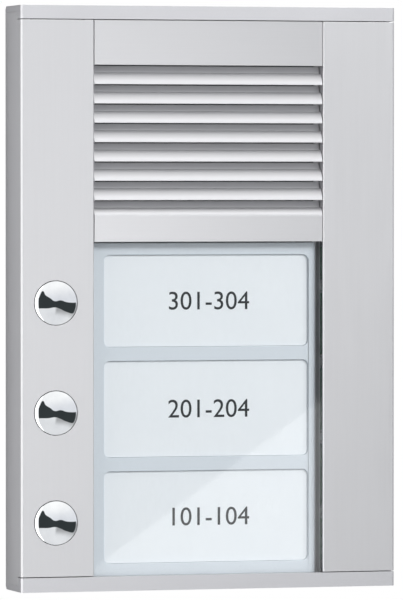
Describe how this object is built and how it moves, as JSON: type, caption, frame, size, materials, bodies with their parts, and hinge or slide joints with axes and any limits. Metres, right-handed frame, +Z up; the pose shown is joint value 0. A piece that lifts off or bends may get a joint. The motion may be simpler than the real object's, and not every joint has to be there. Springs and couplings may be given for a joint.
{
  "type": "door intercom panel",
  "caption": "Surface-mounted aluminium door intercom panel with a louvred speech grille, chrome push-buttons and a backlit window of numbered labels.",
  "frame": {"origin": "middle of the wall base plate's back face, on the wall", "axes": "+X to the right seen from the front, +Y into the wall, +Z up; the front face looks towards -Y"},
  "size_m": [0.1436, 0.0268, 0.215],
  "materials": {
    "anodised_aluminium": "fine satin anodised, faint lines along the extrusion",
    "cap_aluminium": "satin anodised, slightly greyer than the profiles",
    "chrome": "mirror polished",
    "clear_cover": "clear gloss acrylic",
    "label_frame_plastic": "light grey, fine moulded texture",
    "label_paper": "smooth white card with printed numbers",
    "diffuser": "milky acrylic",
    "circuit_board": "green solder mask",
    "black_plastic": "moulded",
    "white_plastic": "moulded",
    "grey_plastic": "moulded",
    "rubber": "matt",
    "screw_steel": "bright zinc plated",
    "galvanised_steel": "galvanised sheet",
    "spring_steel": "drawn wire",
    "cone_paper": "pressed paper",
    "magnet": "painted ferrite pot",
    "wire_gauze": "woven wire",
    "terminal_plastic": "moulded",
    "capacitor_sleeve": "shrunk sleeve",
    "lead_insulation": "smooth insulation",
    "ribbon_insulation": "flat ribbon"
  },
  "bodies": {
    "wall_base": {"wall_base_plate": "galvanised_steel", "perimeter_gasket": "rubber", "cable_grommet": "rubber"},
    "front": {"board_screw_1": "screw_steel", "board_screw_2": "screw_steel", "bottom_cap": "cap_aluminium", "button_board": "circuit_board", "button_board_screw_1": "screw_steel", "button_board_screw_2": "screw_steel", "button_carrier": "black_plastic", "button_ribbon": "ribbon_insulation", "button_seal_1": "rubber", "button_seal_2": "rubber", "button_seal_3": "rubber", "cap_screw_1": "screw_steel", "cap_screw_2": "screw_steel", "cap_screw_3": "screw_steel", "cap_screw_4": "screw_steel", "grille_mesh": "wire_gauze", "inner_chassis": "grey_plastic", "label_cover": "clear_cover", "label_frame": "label_frame_plastic", "led_board": "circuit_board", "left_profile": "anodised_aluminium", "light_guide": "diffuser", "lock_nut": "screw_steel", "lock_screw": "screw_steel", "louvre_panel": "anodised_aluminium", "main_board": "circuit_board", "microphone_boot": "rubber", "microphone_capsule": "screw_steel", "name_label_1": "label_paper", "name_label_2": "label_paper", "name_label_3": "label_paper", "panel_screw_1": "screw_steel", "panel_screw_2": "screw_steel", "return_spring_1": "spring_steel", "return_spring_2": "spring_steel", "return_spring_3": "spring_steel", "right_profile": "anodised_aluminium", "speaker_basket": "galvanised_steel", "speaker_cone": "cone_paper", "speaker_gasket": "rubber", "speaker_lead": "lead_insulation", "speaker_magnet": "magnet", "storage_capacitor": "capacitor_sleeve", "switch_housing_1": "black_plastic", "switch_housing_2": "black_plastic", "switch_housing_3": "black_plastic", "terminal_block": "terminal_plastic", "top_cap": "cap_aluminium"},
    "button_1": {"button_cap_1": "chrome", "button_stem_1": "black_plastic", "switch_plunger_1": "white_plastic"},
    "button_2": {"button_cap_2": "chrome", "button_stem_2": "black_plastic", "switch_plunger_2": "white_plastic"},
    "button_3": {"button_cap_3": "chrome", "button_stem_3": "black_plastic", "switch_plunger_3": "white_plastic"}
  },
  "joints": [
    {"name": "front_swing", "type": "hinge", "parent": "wall_base", "child": "front", "pos_m": [0, -0.00285, 0.1045], "axis": [-1, 0, 0], "range_deg": [0, 12]},
    {"name": "button_1_press", "type": "slide", "parent": "front", "child": "button_1", "axis": [0, 1, 0], "range_m": [0, 0.0012], "stiffness_N_per_m": 600, "springref_m": -0.002, "deforming": ["return_spring_1"]},
    {"name": "button_2_press", "type": "slide", "parent": "front", "child": "button_2", "axis": [0, 1, 0], "range_m": [0, 0.0012], "stiffness_N_per_m": 600, "springref_m": -0.002, "deforming": ["return_spring_2"]},
    {"name": "button_3_press", "type": "slide", "parent": "front", "child": "button_3", "axis": [0, 1, 0], "range_m": [0, 0.0012], "stiffness_N_per_m": 600, "springref_m": -0.002, "deforming": ["return_spring_3"]}
  ]
}
